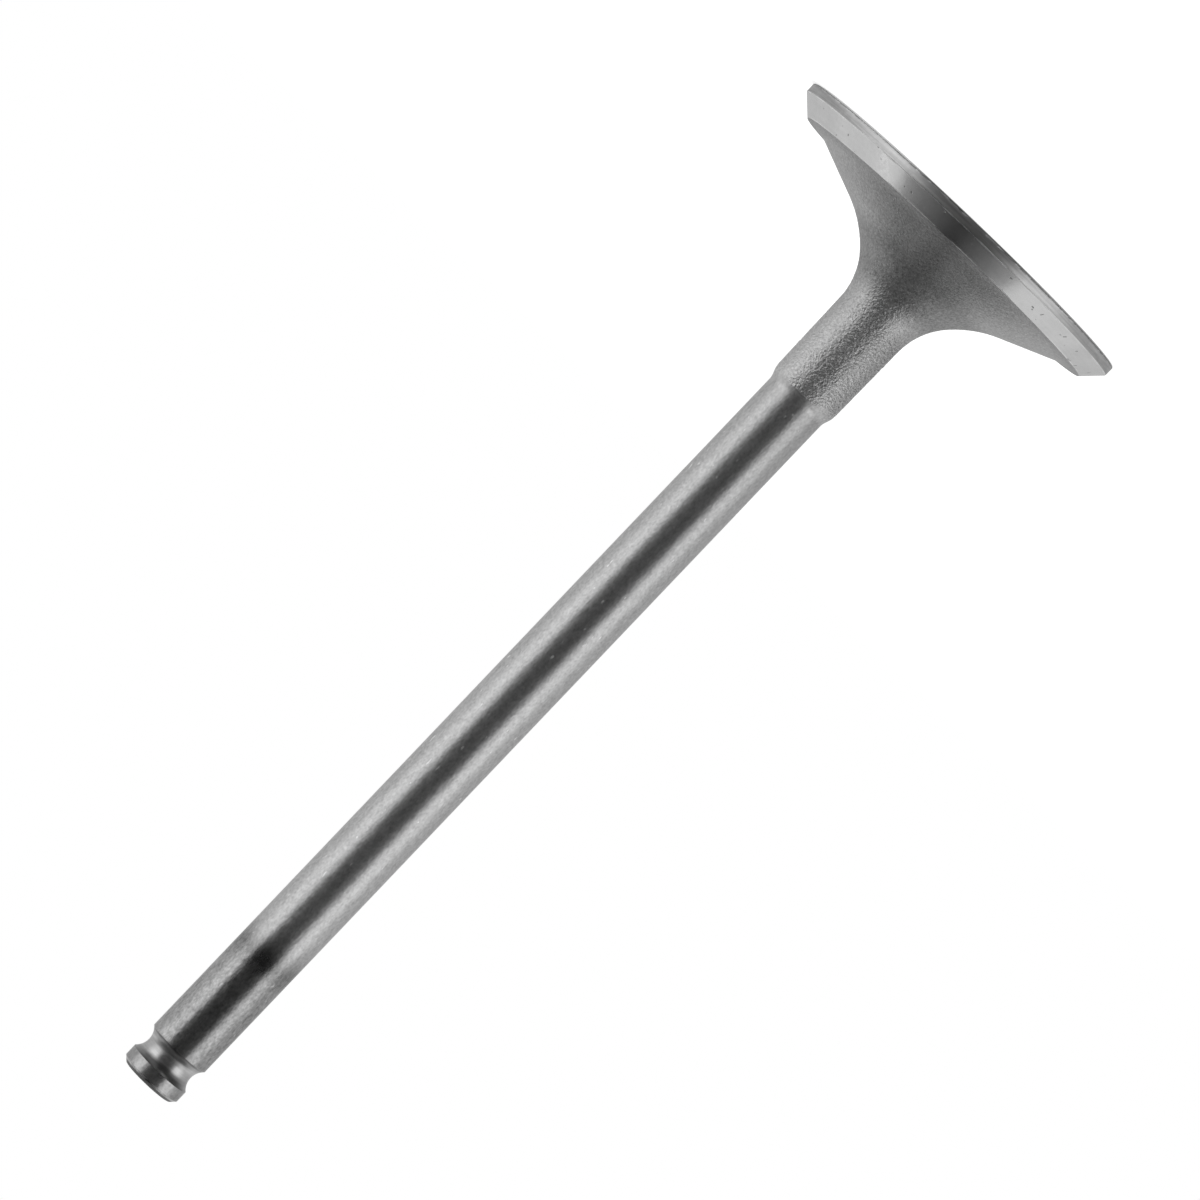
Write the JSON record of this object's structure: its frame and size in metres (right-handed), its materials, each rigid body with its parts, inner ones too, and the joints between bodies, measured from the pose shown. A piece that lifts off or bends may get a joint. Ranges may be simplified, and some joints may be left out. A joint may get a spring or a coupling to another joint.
{
  "type": "engine valve",
  "caption": "One-piece engine poppet valve: flat round head with a 45 degree seat, tulip back, as-forged neck, ground stem and a keeper groove near the tip.",
  "frame": {"origin": "centre of the flat combustion face, which is the lowest face of the part", "axes": "+Z along the stem's axis, from the head towards the tip; the part is round about Z, so X and Y are any pair square to it"},
  "size_m": [0.047, 0.047, 0.135],
  "materials": {
    "valve_steel": "ground on the stem, the seat and the margin, turned in the keeper groove, shot-blasted forging on the neck and the back of the head"
  },
  "bodies": {
    "root": {"engine_valve": "valve_steel"}
  },
  "joints": []
}
